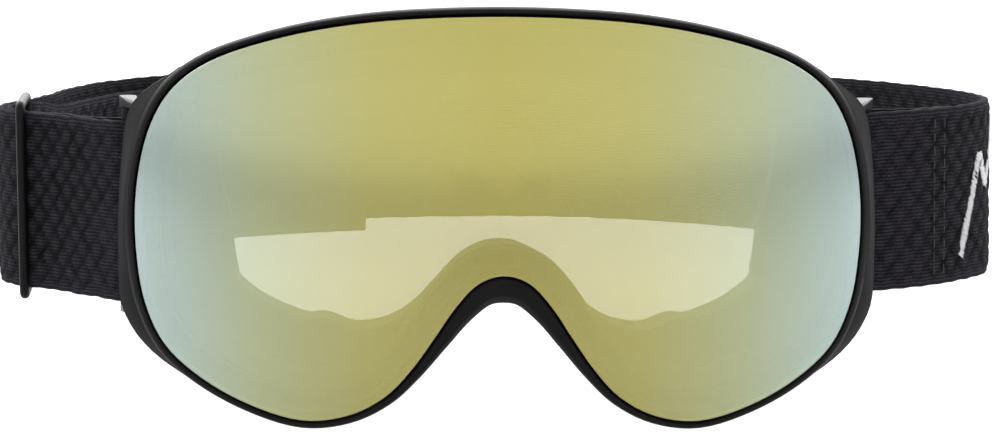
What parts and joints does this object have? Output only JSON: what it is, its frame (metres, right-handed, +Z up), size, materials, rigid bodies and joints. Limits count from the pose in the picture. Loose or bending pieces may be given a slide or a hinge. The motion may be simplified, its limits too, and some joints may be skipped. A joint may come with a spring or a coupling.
{
  "type": "ski goggles",
  "caption": "Ski goggles with a mirrored toric double lens, soft frame with side outriggers, layered face foam and a textured elastic strap with a slide ring.",
  "frame": {"origin": "centre of the face opening, on the surface that rests on the face", "axes": "+X to the wearer's left, +Y into the head (the lens faces -Y), +Z up"},
  "size_m": [0.245, 0.2081, 0.0968],
  "materials": {
    "frame_shell": "satin moulded",
    "carrier": "fine matt",
    "magnet": "nickel plated",
    "vent_foam": "open cell foam",
    "face_foam": "closed cell foam",
    "fleece": "short fleece",
    "mirror_lens": "gold mirror coated",
    "clear_lens": "clear, anti-fog",
    "webbing": "jacquard with raised scales",
    "thread": "twisted thread",
    "white_thread": "satin stitch",
    "ring_plastic": "satin"
  },
  "bodies": {
    "goggle_frame": {"frame": "frame_shell", "frame_magnets": "magnet", "outrigger_left": "frame_shell", "outrigger_right": "frame_shell", "vent_foam_top": "vent_foam", "vent_foam_left": "vent_foam", "vent_foam_right": "vent_foam", "foam_base": "face_foam", "foam_mid": "face_foam", "foam_fleece": "fleece"},
    "lens_unit": {"outer_lens": "mirror_lens", "lens_spacer": "vent_foam", "inner_lens": "clear_lens", "lens_carrier": "carrier", "carrier_magnets": "magnet"},
    "head_strap": {"strap": "webbing", "stitches_loop": "thread", "stitches_tail": "thread", "embroidery": "white_thread"},
    "adjuster": {"slide_ring": "ring_plastic"}
  },
  "joints": [
    {"name": "lens_release", "type": "slide", "parent": "goggle_frame", "child": "lens_unit", "axis": [0, -1, 0], "range_m": [0, 0.03]},
    {"name": "strap_tilt", "type": "hinge", "parent": "goggle_frame", "child": "head_strap", "pos_m": [0, 0.0102, 0.0002], "axis": [1, 0, 0], "range_deg": [-3, 3]},
    {"name": "ring_slide", "type": "hinge", "parent": "head_strap", "child": "adjuster", "pos_m": [-0.0968, 0.05, 0], "axis": [0.0148, 0, -0.9999], "range_deg": [-5, 15]}
  ]
}
